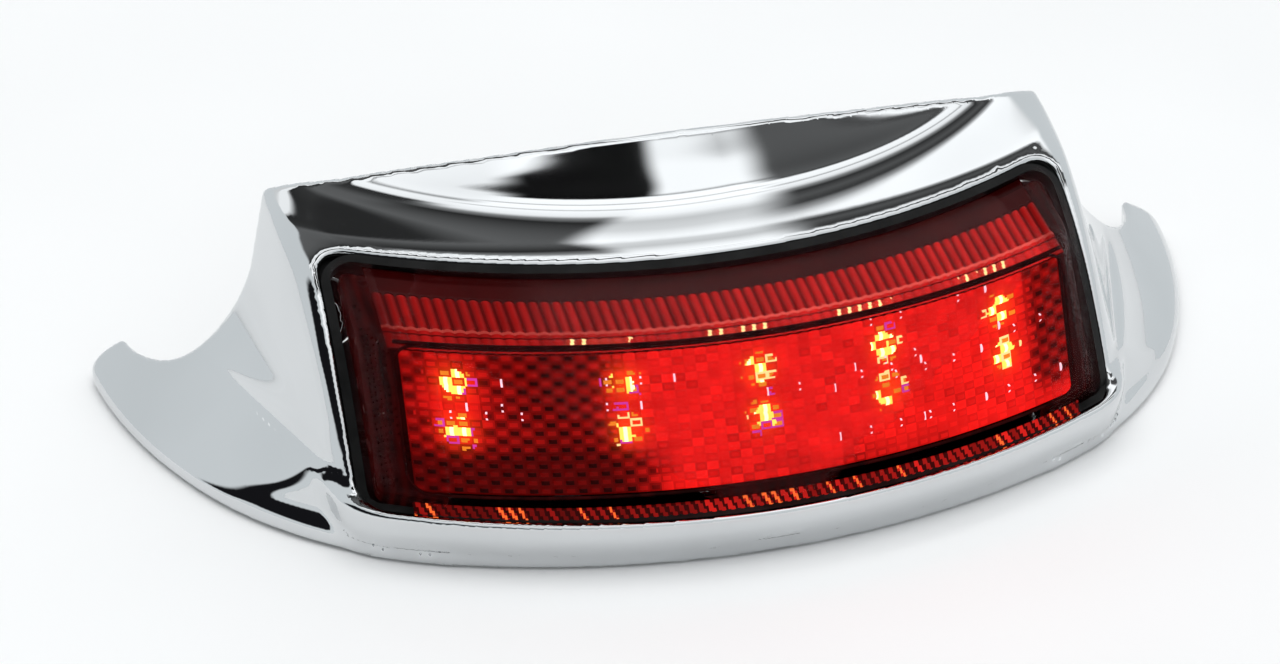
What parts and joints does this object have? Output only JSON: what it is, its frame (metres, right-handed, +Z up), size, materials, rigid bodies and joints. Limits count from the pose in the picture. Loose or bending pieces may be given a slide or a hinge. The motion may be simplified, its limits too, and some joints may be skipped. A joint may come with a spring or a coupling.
{
  "type": "motorcycle tail light",
  "caption": "Fender-tip motorcycle tail light: a curved chrome housing with swept wings, a red lens over lamp boards, and a sealed rear cover that hugs the fender.",
  "frame": {"origin": "under the middle of the light, in the plane of its bottom rim", "axes": "+X across the motorcycle, -Y the way the lens faces (rearward), +Z up the fender"},
  "size_m": [0.2338, 0.099, 0.0561],
  "materials": {
    "chrome_shell": "mirror chrome plate",
    "red_lens": "clear moulded red plastic with flutes and pillow cells",
    "black_seal": "matt rubber",
    "black_cover": "fine moulded texture",
    "gasket_rubber": "matt rubber",
    "grey_foam": "closed-cell foam",
    "zinc_screw": "zinc plate",
    "brass_insert": "machined brass",
    "grommet_rubber": "smooth rubber",
    "vent_grey": "matt grey plastic",
    "black_carrier": "fine moulded texture",
    "red_board": "solder mask over glass laminate",
    "lamp_epoxy": "clear red-tinted epoxy",
    "red_wire": "smooth insulation",
    "chip_black": "moulded epoxy",
    "capacitor_can": "drawn aluminium",
    "header_white": "white nylon",
    "tinned_pin": "tin plate"
  },
  "bodies": {
    "root": {"housing": "chrome_shell", "lens": "red_lens", "lens_seal": "black_seal", "rear_cover": "black_cover", "cover_gasket": "gasket_rubber", "fender_foam": "grey_foam", "cover_screws": "zinc_screw", "carrier_screws": "zinc_screw", "mounting_inserts": "brass_insert", "wire_grommet": "grommet_rubber", "vent_plug": "vent_grey", "board_carrier": "black_carrier", "board_screws": "zinc_screw", "center_board": "red_board", "left_board": "red_board", "right_board": "red_board", "center_lamps": "lamp_epoxy", "left_lamps": "lamp_epoxy", "right_lamps": "lamp_epoxy", "jumper_wires": "red_wire", "resistors": "chip_black", "diode": "chip_black", "regulator": "chip_black", "capacitor": "capacitor_can", "wire_header": "header_white", "header_pins": "tinned_pin"}
  },
  "joints": []
}
